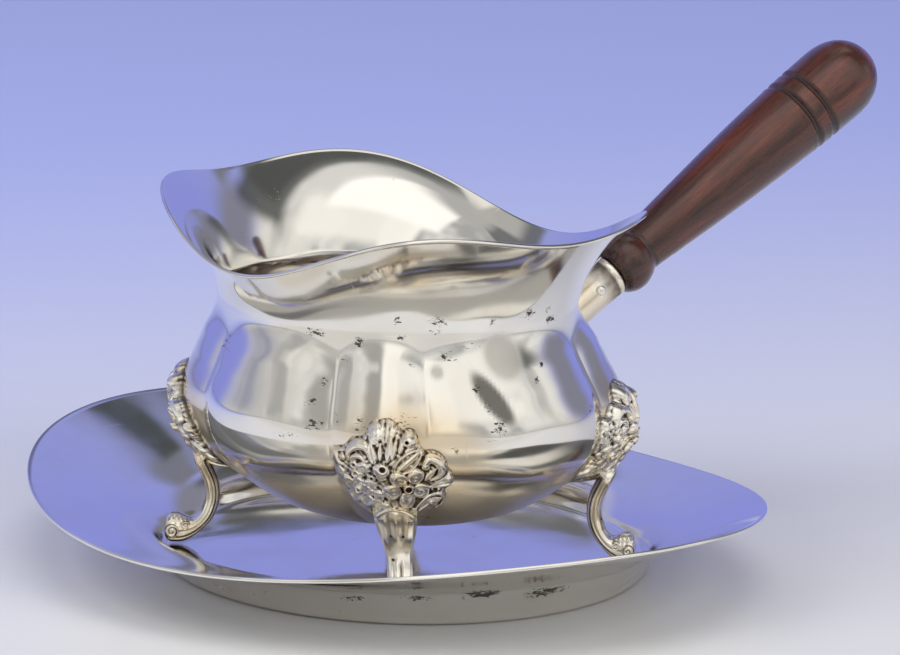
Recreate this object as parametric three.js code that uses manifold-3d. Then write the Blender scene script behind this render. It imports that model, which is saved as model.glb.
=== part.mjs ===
// Sauce pipkin on its own stand. Millimetres, Z up, the origin on the table under the middle of the stand.
// +X is the low end of both wavy rims, the end with the handle.
import * as THREE from 'three';
import Module from 'manifold-3d';

const wasm = await Module();
wasm.setup();

const deg = Math.PI / 180;
const fitGap = 0.3;

// Where the pipkin stands. It was put down a little off the middle of the stand.
const vesselX = 0;
const vesselY = 0.8;

// Stand
const standBaseRadius = 60.2;
const standFloorSheet = 1.5;
const standRimSheet = 0.9;
const shoulderRadius = 66;
const shoulderHeight = 11.5;
// Cosine terms of the wavy rim: mean, then one to three waves round the rim.
const standRimRadius = [90.5, -7.0, -5.1, -1.7];
const standRimHeight = [19.5, -1.4, -4.0, 0.8];

// Body of the pipkin
const bodySheet = 0.9;
const neckRadius = 44.4;
// The bowl leans out toward the pouring end, so the neck sits that way off the middle of the feet.
const neckShift = -4.0;
const leanFrom = 16;
const neckHeight = 67.8;
const bodyRimRadius = [58.3, -3.7, -1.65, -0.75, -1.0, 0.55];
const bodyRimHeight = [87.2, -2.8, -6.1, -0.25, -3.5, 0.8];
const wideLobeRise = 2.7;
const lobeTop = 66.8;

// Legs and floral mounts. The large flower of a mount sits a little to one side of its leg.
// Each leg stands under a narrow lobe of the body, which has its own half width and rise. The pipkin
// is made by hand, so neither the lobes nor the legs are quite alike, and two legs lean a little.
const legs = [
  {
    name: 'rear_left',
    angle: 43 * deg,
    lean: 0.14,
    toeReach: 0.82,
    flowerSide: 3,
    lobe: { angle: 44 * deg, half: 16 * deg, rise: 2.2 },
  },
  {
    name: 'front_left',
    angle: 133.5 * deg,
    lean: 0,
    toeReach: 0.96,
    flowerSide: 2.4,
    lobe: { angle: 137 * deg, half: 21.5 * deg, rise: 2 },
  },
  {
    name: 'front_right',
    angle: 221.6 * deg,
    lean: 0.1,
    toeReach: 0.9,
    flowerSide: 4.2,
    lobe: { angle: 218.9 * deg, half: 12.9 * deg, rise: 1.9 },
  },
  {
    name: 'rear_right',
    angle: 307 * deg,
    lean: 0,
    toeReach: 0.84,
    flowerSide: 4.2,
    lobe: { angle: 312 * deg, half: 18.5 * deg, rise: 2.8 },
  },
];

// Handle. Stations run along its axis from the outer end of the socket.
const handleTurn = -13.2 * deg;
const handleRise = 32.8 * deg;
const handleAxisHeight = 27.5;
const socketEnd = 71.7;
const socketBack = 21;
const socketBore = 4.1;
const tenonRadius = 3.8;
const tenonLength = 12;
const pinStation = -7;
const pinTurn = 14 * deg;

const waves = (terms, angle) => terms.reduce((sum, k, n) => sum + k * Math.cos(n * angle), 0);
const smooth = (x) => {
  const k = Math.min(1, Math.max(0, x));
  return k * k * (3 - 2 * k);
};

function geometryOf(points, faces) {
  const geometry = new THREE.BufferGeometry();
  geometry.setAttribute('position', new THREE.Float32BufferAttribute(points.flat(), 3));
  geometry.setIndex(faces.flat());
  geometry.computeVertexNormals();
  return geometry;
}

// Closes rings of points into one body. The first and the last ring each shrink to a point.
function closedRings(first, rings, last) {
  const count = rings[0].length;
  const points = [first, ...rings.flat(), last];
  const faces = [];
  const at = (row, k) => 1 + row * count + (k % count);
  for (let k = 0; k < count; k += 1) {
    faces.push([0, at(0, k + 1), at(0, k)]);
    for (let row = 0; row + 1 < rings.length; row += 1) {
      faces.push([at(row, k), at(row, k + 1), at(row + 1, k + 1)]);
      faces.push([at(row, k), at(row + 1, k + 1), at(row + 1, k)]);
    }
    faces.push([at(rings.length - 1, k), at(rings.length - 1, k + 1), points.length - 1]);
  }
  return geometryOf(points, faces);
}

// A raised sheet vessel: the outside goes from the middle of the base to the rim, the inside comes back.
// surface(angle, t) gives the outside, t from 0 to 1; the inside lies one sheet further in.
function sheetVessel(surface, angles, steps, sheetAt) {
  const normalAt = (angle, t) => {
    const h = 1e-3;
    const along = new THREE.Vector3(...surface(angle, Math.min(1, t + h)));
    along.sub(new THREE.Vector3(...surface(angle, Math.max(0, t - h))));
    const round = new THREE.Vector3(...surface(angle + h, t));
    round.sub(new THREE.Vector3(...surface(angle - h, t)));
    return round.cross(along).normalize();
  };
  const outside = steps.map((t) => angles.map((angle) => surface(angle, t)));
  const inside = steps.map((t) => angles.map((angle) => {
    const p = surface(angle, t);
    const n = normalAt(angle, t);
    const sheet = sheetAt(t);
    return [p[0] - n.x * sheet, p[1] - n.y * sheet, p[2] - n.z * sheet];
  }));
  const edge = angles.map((angle, k) => {
    const a = outside[steps.length - 1][k];
    const b = inside[steps.length - 1][k];
    const out = new THREE.Vector3(...surface(angle, 1)).sub(new THREE.Vector3(...surface(angle, 0.98)));
    out.normalize().multiplyScalar(sheetAt(1) * 0.35);
    return [(a[0] + b[0]) / 2 + out.x, (a[1] + b[1]) / 2 + out.y, (a[2] + b[2]) / 2 + out.z];
  });
  const bottom = surface(0, 0);
  const rings = [...outside, edge, ...inside.reverse()];
  return closedRings(bottom, rings, [bottom[0], bottom[1], bottom[2] + sheetAt(0)]);
}

const along = (from, to, count) => (
  Array.from({ length: count }, (_, k) => from + ((to - from) * (k + 1)) / count)
);

// Stand: flat well floor, steep wall, rounded shoulder and a flare that follows the wavy rim.
function standSurface(angle, t) {
  const rimRadius = waves(standRimRadius, angle);
  const rimHeight = waves(standRimHeight, angle);
  let radius;
  let height;
  if (t < 0.4) {
    radius = (standBaseRadius - 1.2) * (t / 0.4);
    height = 0;
  } else {
    const wall = new THREE.CubicBezierCurve(
      new THREE.Vector2(standBaseRadius - 1.2, 0),
      new THREE.Vector2(standBaseRadius + 0.8, 0),
      new THREE.Vector2(standBaseRadius + 0.9, 1.6),
      new THREE.Vector2(standBaseRadius + 1.6, 3.2),
    );
    const slope = new THREE.Vector2(1.6, 3.2).normalize();
    const reach = rimRadius - shoulderRadius;
    const flare = new THREE.CubicBezierCurve(
      new THREE.Vector2(standBaseRadius + 1.6, 3.2),
      new THREE.Vector2(standBaseRadius + 1.6 + slope.x * 9.5, 3.2 + slope.y * 9.5),
      new THREE.Vector2(shoulderRadius + reach * 0.22, shoulderHeight + (rimHeight - shoulderHeight) * 0.1),
      new THREE.Vector2(rimRadius, rimHeight),
    );
    const p = t < 0.5 ? wall.getPoint((t - 0.4) / 0.1) : flare.getPoint((t - 0.5) / 0.5);
    radius = p.x;
    height = p.y;
  }
  return [radius * Math.cos(angle), radius * Math.sin(angle), height];
}

function standGeometry() {
  const angles = Array.from({ length: 64 }, (_, k) => (k / 64) * Math.PI * 2);
  const steps = [0.2, 0.4, 0.43, 0.46, 0.5, ...along(0.5, 1, 8)];
  const sheetAt = (t) => standFloorSheet + (standRimSheet - standFloorSheet) * smooth((t - 0.45) / 0.4);
  return sheetVessel(standSurface, angles, steps, sheetAt);
}

// Outline of the bowl without its lobes, from the middle of the bottom up to the neck.
const bowlOutline = new THREE.SplineCurve([
  new THREE.Vector2(0, 10.9),
  new THREE.Vector2(13, 11.9),
  new THREE.Vector2(25, 14.7),
  new THREE.Vector2(37, 20.5),
  new THREE.Vector2(46.5, 27.9),
  new THREE.Vector2(51.4, 36.3),
  new THREE.Vector2(52.0, 44.5),
  new THREE.Vector2(48.5, 53.0),
  new THREE.Vector2(45.1, 60.8),
  new THREE.Vector2(neckRadius, neckHeight),
]);

// Narrow lobes stand over the legs, wide ones between them. Zero at a crease, one at the middle of a lobe.
function lobeRise(angle, radius, height) {
  const full = Math.PI * 2;
  const place = ((angle % full) + full) % full;
  let rise = 0;
  let across = 1;
  legs.forEach(({ lobe }, k) => {
    const after = legs[(k + 1) % legs.length].lobe;
    const span = after.angle - after.half - lobe.angle + (k + 1 === legs.length ? full : 0);
    const from = (place - lobe.angle + full) % full;
    const away = Math.min(from, full - from);
    const half = (span - lobe.half) / 2;
    if (away < lobe.half) {
      rise = lobe.rise;
      across = away / lobe.half;
    } else if (from < span) {
      rise = wideLobeRise;
      across = Math.abs(from - lobe.half - half) / half;
    }
  });
  const arch = smooth((lobeTop - 3.2 * across ** 4 - height) / 9);
  const fade = smooth((radius - 14) / 26);
  return rise * Math.max(0, 1 - across * across) * arch * fade;
}

const rimStart = 0.64;
const leanAt = (height) => neckShift * smooth((height - leanFrom) / (neckHeight - leanFrom));

function bowlSurface(angle, t, grow = 0) {
  let radius;
  let height;
  let shift;
  if (t <= rimStart) {
    const p = bowlOutline.getPoint(t / rimStart);
    radius = p.x + lobeRise(angle, p.x, p.y);
    height = p.y;
    shift = leanAt(p.y);
  } else {
    const rimRadius = waves(bodyRimRadius, angle);
    const rimHeight = waves(bodyRimHeight, angle);
    const flare = new THREE.QuadraticBezierCurve(
      new THREE.Vector2(neckRadius, neckHeight),
      new THREE.Vector2(
        neckRadius - 0.4 + (rimRadius - neckRadius) * 0.2,
        neckHeight + (rimHeight - neckHeight) * 0.55,
      ),
      new THREE.Vector2(rimRadius, rimHeight),
    );
    const u = (t - rimStart) / (1 - rimStart);
    const p = flare.getPoint(u);
    radius = p.x;
    height = p.y;
    shift = neckShift * (1 - u) * (1 + 0.6 * u);
  }
  radius += t > 0 ? grow : 0;
  return [
    vesselX + shift + radius * Math.cos(angle),
    vesselY + radius * Math.sin(angle),
    height - (t > 0 ? 0 : grow),
  ];
}

// Angles that put points exactly on the creases.
function lobeAngles(inNarrow, inWide) {
  return legs.flatMap(({ lobe }, k) => {
    const after = legs[(k + 1) % legs.length].lobe;
    const start = lobe.angle + lobe.half;
    const end = after.angle - after.half + (k + 1 === legs.length ? Math.PI * 2 : 0);
    const narrow = Array.from({ length: inNarrow }, (_, n) => start - lobe.half * (2 - (2 * n) / inNarrow));
    const count = Math.round((inWide * (end - start)) / (Math.PI / 3));
    return [...narrow, start, ...along(start, end, count).slice(0, -1)];
  });
}

const bowlSteps = [...along(0.03, rimStart, 15), ...along(rimStart, 1, 6)];

function bowlGeometry() {
  return sheetVessel((angle, t) => bowlSurface(angle, t), lobeAngles(8, 11), bowlSteps, () => bodySheet);
}

// The bowl as a solid lump, a fitting gap larger all round, to cut the backs of the soldered pieces.
function bowlLump() {
  const angles = lobeAngles(8, 11);
  const rings = bowlSteps.map((t) => angles.map((angle) => {
    const p = bowlSurface(angle, t, fitGap * 1.15);
    return [p[0], p[1], t < 0.3 ? p[2] - fitGap : p[2]];
  }));
  const bottom = bowlSurface(0, 0);
  const top = [vesselX, vesselY, bodyRimHeight[0]];
  return closedRings([bottom[0], bottom[1], bottom[2] - fitGap * 1.5], rings, top);
}

// Boolean work
function toSolid(geometry) {
  const mesh = new wasm.Mesh({
    numProp: 3,
    vertProperties: new Float32Array(geometry.attributes.position.array),
    triVerts: new Uint32Array(geometry.index.array),
  });
  mesh.merge();
  return new wasm.Manifold(mesh);
}

function fromSolid(solid) {
  const mesh = solid.getMesh();
  const geometry = new THREE.BufferGeometry();
  geometry.setAttribute('position', new THREE.BufferAttribute(mesh.vertProperties, 3));
  geometry.setIndex(new THREE.BufferAttribute(mesh.triVerts, 1));
  geometry.computeVertexNormals();
  return geometry;
}

// A leg is swept along a line in its own upright plane: out from the bowl, in at the ankle, out to the toe.
const kneeHeight = 26;
const legLine = new THREE.SplineCurve([
  new THREE.Vector2(51.0, 26.6),
  new THREE.Vector2(50.4, 23.8),
  new THREE.Vector2(48.2, 18.6),
  new THREE.Vector2(47.7, 13.8),
  new THREE.Vector2(49.0, 9.6),
  new THREE.Vector2(51.9, 6.6),
  new THREE.Vector2(55.4, 5.45),
  new THREE.Vector2(59.9, 5.4),
]);

function legGeometry({ angle, lean, toeReach }, grow = 0) {
  const around = 16;
  const stations = [0.02, 0.07, 0.14, 0.24, 0.34, 0.44, 0.54, 0.63, 0.71, 0.79, 0.87, 0.94, 0.985];
  const ankle = 49;
  const place = (far, side, height) => {
    const radius = far > ankle && height < 12 ? ankle + (far - ankle) * toeReach : far;
    const aside = side + lean * (kneeHeight - height);
    return [
      vesselX + radius * Math.cos(angle) - aside * Math.sin(angle),
      vesselY + radius * Math.sin(angle) + aside * Math.cos(angle),
      height,
    ];
  };
  const rings = stations.map((t) => {
    const p = legLine.getPoint(t);
    const direction = legLine.getTangent(t);
    const outward = new THREE.Vector2(-direction.y, direction.x);
    const end = Math.min(1, Math.sqrt(Math.min(t, 1 - t) / 0.06));
    const half = (3.05 + 2.3 * smooth((0.5 - t) / 0.42)) * (0.45 + 0.55 * end) + grow;
    const thick = (1.9 + 1.5 * smooth((t - 0.66) / 0.24)) * (0.35 + 0.65 * end) + grow;
    return Array.from({ length: around }, (_, k) => {
      const turn = (k / around) * Math.PI * 2;
      const side = half * Math.sign(Math.cos(turn)) * Math.abs(Math.cos(turn)) ** 0.85;
      const crown = 1 + 0.24 * smooth((t - 0.7) / 0.2);
      const flute = Math.sin(turn) > 0 ? crown * (1 + 0.16 * Math.cos((side / half) * Math.PI * 2)) : 1;
      const out = thick * Math.sign(Math.sin(turn)) * Math.abs(Math.sin(turn)) ** 0.8 * flute;
      return place(p.x + outward.x * out, side, p.y + outward.y * out);
    });
  });
  const head = legLine.getPoint(0);
  const toe = legLine.getPoint(1);
  return closedRings(place(head.x, 0, head.y + grow), rings, place(toe.x + grow, 0, toe.y));
}

// The floral mount is one casting. Its outline and its relief are made of the flowers, leaves and scrolls
// that it carries, each a rounded boss: sideways and up from the middle of the large flower, size and rise.
const flowerHeight = 32.3;
const bosses = [
  { side: -4.6, up: 13.8, size: 3.7, rise: 0.9 },
  { side: 1.0, up: 12.8, size: 2.2, rise: 1.0 },
  { side: -10.2, up: 8.4, size: 5.0, rise: 0.9 },
  { side: -15.0, up: 3.6, size: 4.4, rise: 0.6 },
  { side: -12.4, up: -6.0, size: 4.6, rise: 1.3 },
  { side: 3.2, up: 6.6, size: 3.6, rise: 1.0 },
  { side: 6.6, up: 4.4, size: 4.0, rise: 1.1 },
  { side: 10.0, up: 0.8, size: 3.4, rise: 0.7 },
  { side: 5.8, up: -6.6, size: 4.2, rise: 0.9 },
  { side: 1.8, up: -9.6, size: 2.8, rise: 0.4 },
  { side: -6.6, up: -8.2, size: 3.6, rise: 0.5 },
  { side: -6.4, up: 1.0, size: 3.2, rise: 1.2 },
];

function mountReach(turn) {
  const x = Math.cos(turn);
  const y = Math.sin(turn);
  return bosses.reduce((reach, boss) => {
    const ahead = boss.side * x + boss.up * y;
    const off = boss.side * y - boss.up * x;
    return Math.abs(off) < boss.size && ahead > 0
      ? Math.max(reach, ahead + Math.sqrt(boss.size ** 2 - off ** 2))
      : reach;
  }, 5.2);
}

function bodyRadius(angle, height) {
  let low = 0.05;
  let high = rimStart;
  for (let k = 0; k < 24; k += 1) {
    const middle = (low + high) / 2;
    if (bowlOutline.getPoint(middle / rimStart).y < height) low = middle;
    else high = middle;
  }
  const p = bowlOutline.getPoint(low / rimStart);
  return p.x + lobeRise(angle, p.x, p.y);
}

function mountGeometry({ angle: legAngle, lean, flowerSide }) {
  const around = 44;
  const rows = [0.16, 0.34, 0.52, 0.7, 0.86, 1];
  const place = (side, up, outer) => {
    const height = flowerHeight + up;
    const offLeg = flowerSide + side;
    const angle = legAngle + (offLeg + lean * (kneeHeight - height)) / 57;
    const wall = bodyRadius(angle, height);
    const reach = Math.hypot(side, up) / mountReach(Math.atan2(up, side));
    const full = 3.4 * smooth((50 - height) / 15) + 0.5 * Math.max(0, 30 - height);
    const body = 1.5 + full * Math.exp(-((offLeg / 8) ** 2));
    const boss = bosses.reduce((most, b) => {
      const off = Math.hypot(side - b.side, up - b.up) / b.size;
      return off < 1 ? Math.max(most, b.rise * Math.sqrt(1 - off * off)) : most;
    }, 0);
    const spread = Math.hypot(side, up);
    const petal = 0.5 + 0.5 * Math.cos(5 * (Math.atan2(up, side) - 0.9));
    const bloom = spread < 5.2 ? 1.5 * petal * Math.sin((Math.PI * spread) / 5.2) ** 0.7 : 0;
    const centre = spread < 1.4 ? 1.4 : 0;
    const edge = Math.sqrt(Math.max(0, 1 - reach ** 4));
    const rise = 0.9 + (body - 0.9) * edge + Math.max(bloom, centre, boss) * Math.min(1, edge * 1.6);
    const radius = outer ? wall + fitGap + rise : wall - 0.8;
    const shift = leanAt(height);
    return [vesselX + shift + radius * Math.cos(angle), vesselY + radius * Math.sin(angle), height];
  };
  const turns = Array.from({ length: around }, (_, k) => (-k / around) * Math.PI * 2);
  const ring = (row, outer) => turns.map((turn) => {
    const reach = mountReach(turn) * row;
    return place(reach * Math.cos(turn), reach * Math.sin(turn), outer);
  });
  const rings = [...rows.map((row) => ring(row, true)), ...[1, 0.5].map((row) => ring(row, false))];
  return closedRings(place(0, 0, true), rings, place(0, 0, false));
}

// Handle pieces are turned on their own axis and then swung into place.
const handleFrame = new THREE.Matrix4();
handleFrame.makeRotationAxis(new THREE.Vector3(0, 1, 0), Math.PI / 2 - handleRise);
handleFrame.premultiply(new THREE.Matrix4().makeRotationZ(handleTurn));
handleFrame.setPosition(
  vesselX + socketEnd * Math.cos(handleRise) * Math.cos(handleTurn),
  vesselY + socketEnd * Math.cos(handleRise) * Math.sin(handleTurn),
  handleAxisHeight + socketEnd * Math.sin(handleRise),
);

function turned(outline, around) {
  const rings = outline.slice(1, -1).map(([radius, station]) => Array.from({ length: around }, (_, k) => {
    const turn = (k / around) * Math.PI * 2;
    return [radius * Math.cos(turn), radius * Math.sin(turn), station];
  }));
  const ends = [outline[0], outline[outline.length - 1]].map(([, station]) => [0, 0, station]);
  return closedRings(ends[0], rings, ends[1]);
}

// Outline of the wood, in stations from the end of the socket: tenon, collar, neck, grip and rounded end.
const collarRadius = 7.95;
const gripStart = 6.4;
const gripEnd = 10.4;
const outerGroove = 71.4;
const innerGroove = 66.2;
const woodEnd = 93.3;

function gripRadius(station) {
  const k = (station - 11.5) / (outerGroove - 11.5);
  const share = Math.sin(Math.min(1.12, Math.max(0, k)) * 1.25) / Math.sin(1.25);
  const swell = gripStart + (gripEnd - gripStart) * share;
  const tip = Math.max(0, (station - 80) / (woodEnd - 80));
  return swell * Math.sqrt(Math.max(0, 1 - tip ** 2.4));
}

function woodOutline() {
  const outline = [[0, -tenonLength], [tenonRadius - 0.4, -tenonLength], [tenonRadius, -tenonLength + 0.6]];
  outline.push([tenonRadius, fitGap], [5.9, fitGap]);
  for (let k = 1; k <= 7; k += 1) {
    const station = fitGap + (9.6 * k) / 7;
    const lean = (k / 7) ** 0.9;
    outline.push([5.9 + (collarRadius - 5.9) * Math.sin(lean * Math.PI) ** 0.75 + 0.2 * lean, station]);
  }
  outline.push([gripStart, 10.9]);
  const stations = [11.8, ...along(11.8, innerGroove - 1.6, 8)];
  stations.forEach((station) => outline.push([gripRadius(station), station]));
  [innerGroove, outerGroove].forEach((groove) => {
    outline.push([gripRadius(groove) - 0.15, groove - 1.1], [gripRadius(groove) - 1.15, groove]);
    outline.push([gripRadius(groove) - 0.15, groove + 1.1]);
  });
  along(outerGroove + 1.1, woodEnd - 0.3, 9).forEach((station) => {
    outline.push([gripRadius(station), station]);
  });
  outline.push([0, woodEnd]);
  return outline;
}

function pinGeometry(grow = 0) {
  const shank = 0.8 + grow;
  const length = 5.75 + grow;
  const outline = [[0, -length], [shank, -length], [shank, length]];
  if (grow === 0) outline.push([1.25, length], [1.2, length + 0.35], [0.8, length + 0.6], [0, length + 0.7]);
  else outline.push([0, length + 2]);
  const pin = turned(outline, 16);
  pin.applyMatrix4(new THREE.Matrix4().makeRotationX(Math.PI / 2));
  pin.applyMatrix4(new THREE.Matrix4().makeRotationZ(-pinTurn));
  pin.applyMatrix4(new THREE.Matrix4().makeTranslation(0, 0, pinStation));
  return pin;
}

function swing(geometry) {
  return geometry.applyMatrix4(handleFrame);
}

const silver = { color: 0xc9c7c2, roughness: 0.22, metalness: 1 };
const wood = { color: 0x5a2416, roughness: 0.35, metalness: 0 };
const part = new THREE.Group();
part.name = 'pipkin';

function add(name, geometry, look) {
  const mesh = new THREE.Mesh(geometry, new THREE.MeshStandardMaterial(look));
  mesh.name = name;
  part.add(mesh);
}

add('stand', standGeometry(), silver);
add('pipkin_body', bowlGeometry(), silver);

const lump = toSolid(bowlLump());
legs.forEach((leg) => {
  add(`leg_${leg.name}`, fromSolid(toSolid(legGeometry(leg)).subtract(lump)), silver);
  const roomForLeg = toSolid(legGeometry(leg, fitGap));
  const mount = toSolid(mountGeometry(leg)).subtract(lump).subtract(roomForLeg);
  add(`mount_${leg.name}`, fromSolid(mount), silver);
});

const pinRoom = toSolid(swing(pinGeometry(fitGap / 2)));
const socketOutline = [[0, -socketBack], [6.1, -socketBack], [5.85, -16], [5.6, -0.5], [5.4, 0]];
socketOutline.push([socketBore + 0.3, 0]);
socketOutline.push([socketBore, -0.4], [socketBore, -tenonLength - 0.4], [0, -tenonLength - 0.4]);
const socket = toSolid(swing(turned(socketOutline, 26))).subtract(lump).subtract(pinRoom);
add('handle_socket', fromSolid(socket), silver);
add('wood_handle', fromSolid(toSolid(swing(turned(woodOutline(), 26))).subtract(pinRoom)), wood);
add('handle_pin', swing(pinGeometry()), silver);

export default part;
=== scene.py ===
import math

import bpy
import numpy as np
from mathutils import Euler, Matrix, Vector


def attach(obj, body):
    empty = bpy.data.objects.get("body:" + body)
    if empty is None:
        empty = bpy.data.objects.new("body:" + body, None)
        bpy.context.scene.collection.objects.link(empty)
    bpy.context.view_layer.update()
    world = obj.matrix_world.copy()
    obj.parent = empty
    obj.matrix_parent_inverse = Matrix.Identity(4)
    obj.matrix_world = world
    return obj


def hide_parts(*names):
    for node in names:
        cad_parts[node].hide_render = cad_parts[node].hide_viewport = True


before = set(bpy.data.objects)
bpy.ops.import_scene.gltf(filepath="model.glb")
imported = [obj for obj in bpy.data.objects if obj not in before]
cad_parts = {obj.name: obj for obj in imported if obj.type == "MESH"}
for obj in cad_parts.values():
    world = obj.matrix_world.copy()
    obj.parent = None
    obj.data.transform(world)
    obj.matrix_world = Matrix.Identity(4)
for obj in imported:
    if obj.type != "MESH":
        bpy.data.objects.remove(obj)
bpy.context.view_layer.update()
print("frame loaded:", len(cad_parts), "solids")

mm = 0.001
tau = math.tau


def smooth(x):
    # an eased step from 0 to 1
    k = np.clip(x, 0, 1)
    return k * k * (3 - 2 * k)


def hump(x, middle, half):
    return np.exp(-(((x - middle) / half) ** 2))


def throughPoints(points, t):
    # a smooth line through the points, t from 0 to 1, evenly shared among its spans
    points = np.array(points, float)
    place = np.clip(np.asarray(t, float), 0, 1) * (len(points) - 1)
    k = np.minimum(place.astype(int), len(points) - 2)
    w = (place - k)[..., None]
    p0, p1 = points[np.maximum(k - 1, 0)], points[k]
    p2, p3 = points[k + 1], points[np.minimum(k + 2, len(points) - 1)]
    p0 = np.where((k == 0)[..., None], p1, p0)
    p3 = np.where((k > len(points) - 3)[..., None], points[-1], p3)
    v0, v1 = (p2 - p0) / 2, (p3 - p1) / 2
    return (2 * p1 - 2 * p2 + v0 + v1) * w**3 + (3 * p2 - 3 * p1 - 2 * v0 - v1) * w**2 + v0 * w + p1


def makeMesh(name, points, faces, finish, marks=None):
    # points in millimetres, marks are extra values on the points
    mesh = bpy.data.meshes.new(name)
    mesh.from_pydata((np.asarray(points) * mm).tolist(), [], [list(f) for f in faces])
    for key, values in (marks or {}).items():
        mark = mesh.attributes.new(key, "FLOAT", "POINT")
        mark.data.foreach_set("value", np.asarray(values, np.float32))
    mesh.polygons.foreach_set("use_smooth", [True] * len(mesh.polygons))
    mesh.materials.append(finish)
    mesh.update()
    made = bpy.data.objects.new(name, mesh)
    bpy.context.scene.collection.objects.link(made)
    return made


def ringFaces(rows, count, flip=False):
    # quads between rings of points, with a point at each end: 0 and the last
    faces = []
    for row in range(rows - 1):
        a, b = 1 + row * count, 1 + (row + 1) * count
        for k in range(count):
            n = (k + 1) % count
            faces.append((a + k, a + n, b + n, b + k))
    last = 1 + rows * count
    tail = 1 + (rows - 1) * count
    for k in range(count):
        n = (k + 1) % count
        faces.append((0, 1 + n, 1 + k))
        faces.append((tail + k, tail + n, last))
    return [f[::-1] for f in faces] if flip else faces


def closeRings(first, rings, last, flip=False):
    rings = np.asarray(rings)
    points = np.vstack([[first], rings.reshape(-1, 3), [last]])
    return points, ringFaces(len(rings), rings.shape[1], flip)


def turnedRows(radius, height, angles):
    return np.stack([radius * np.cos(angles), radius * np.sin(angles),
                     np.repeat(height, len(angles), axis=1)], axis=2)


def dress(piece, body, slot, *nodes):
    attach(piece, body)
    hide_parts(*nodes)
    return piece


def feed(tree, node, inputs):
    # links what comes out of another node, and sets what is a plain value
    for key, value in inputs.items():
        if isinstance(value, bpy.types.NodeSocket):
            tree.links.new(value, node.inputs[key])
        else:
            node.inputs[key].default_value = value


def addNode(tree, kind, inputs=None, **settings):
    made = tree.nodes.new(kind)
    for key, value in settings.items():
        setattr(made, key, value)
    feed(tree, made, inputs or {})
    return made


def math2(tree, kind, a, b=0.5, clamp=False):
    return addNode(tree, "ShaderNodeMath", {0: a, 1: b}, operation=kind, use_clamp=clamp).outputs[0]


def arithmetic(tree):
    # plus, minus and times for one tree
    def does(kind):
        return lambda a, b, clamp=False: math2(tree, kind, a, b, clamp)

    return does("ADD"), does("SUBTRACT"), does("MULTIPLY")


def ramp(tree, value, low, high, a=0.0, b=1.0):
    made = addNode(tree, "ShaderNodeMapRange", {"Value": value, "From Min": low, "From Max": high,
                                               "To Min": a, "To Max": b}, interpolation_type="SMOOTHSTEP")
    return made.outputs["Result"]


def mixColour(tree, amount, a, b, kind="MIX"):
    made = addNode(tree, "ShaderNodeMix", {0: amount, 6: a, 7: b}, data_type="RGBA", blend_type=kind)
    return made.outputs[2]


def noiseAt(tree, where, scale, detail=2.0, rough=0.5):
    made = addNode(tree, "ShaderNodeTexNoise", {"Vector": where, "Scale": scale, "Detail": detail,
                                               "Roughness": rough})
    return made.outputs["Fac"]


def stretched(tree, at, scale, turn=(0, 0, 0)):
    return addNode(tree, "ShaderNodeMapping", {"Vector": at, "Rotation": turn, "Scale": scale}).outputs[0]


def markOf(tree, key):
    return addNode(tree, "ShaderNodeAttribute", attribute_name=key).outputs["Fac"]


def bumpOf(tree, height, strength, distance, **under):
    made = addNode(tree, "ShaderNodeBump", {"Height": height, "Strength": strength,
                                           "Distance": distance, **under})
    return made.outputs[0]


def newMaterial(name):
    material = bpy.data.materials.new(name)
    material.use_nodes = True
    tree = material.node_tree
    at = addNode(tree, "ShaderNodeTexCoord").outputs["Object"]
    return material, tree, tree.nodes["Principled BSDF"], at


silverLook = {
    "clean": (0.90, 0.885, 0.855, 1),
    "warm": (0.82, 0.67, 0.46, 1),
    "haze": (0.70, 0.68, 0.64, 1),
    "oxide": (0.22, 0.215, 0.20, 1),
    "dark": (0.045, 0.038, 0.032, 1),
    "roughness": (0.055, 0.15),
    "cloudScale": 38.0,
    "patchScale": 70.0,
    "pitScale": 560.0,
    "finePitScale": 1300.0,
    "waveScale": 46.0,
    "waviness": 0.00009,     # metres, as the depths below
    "pitDepth": 0.00006,
    "scattered": (0.64, 0.68),     # how rare loose pits are on the bowl and on the stand
}

castLook = {
    "bright": (0.95, 0.925, 0.875, 1),
    "warm": (0.90, 0.80, 0.64, 1),
    "dirt": (0.085, 0.058, 0.038, 1),
    "roughness": (0.20, 0.30),     # of clean metal, and what dirt adds
    "dirtScale": 420.0,
    "tintScale": 110.0,
    "grainScale": 600.0,
    "grainDepth": 0.00005,
}


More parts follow.
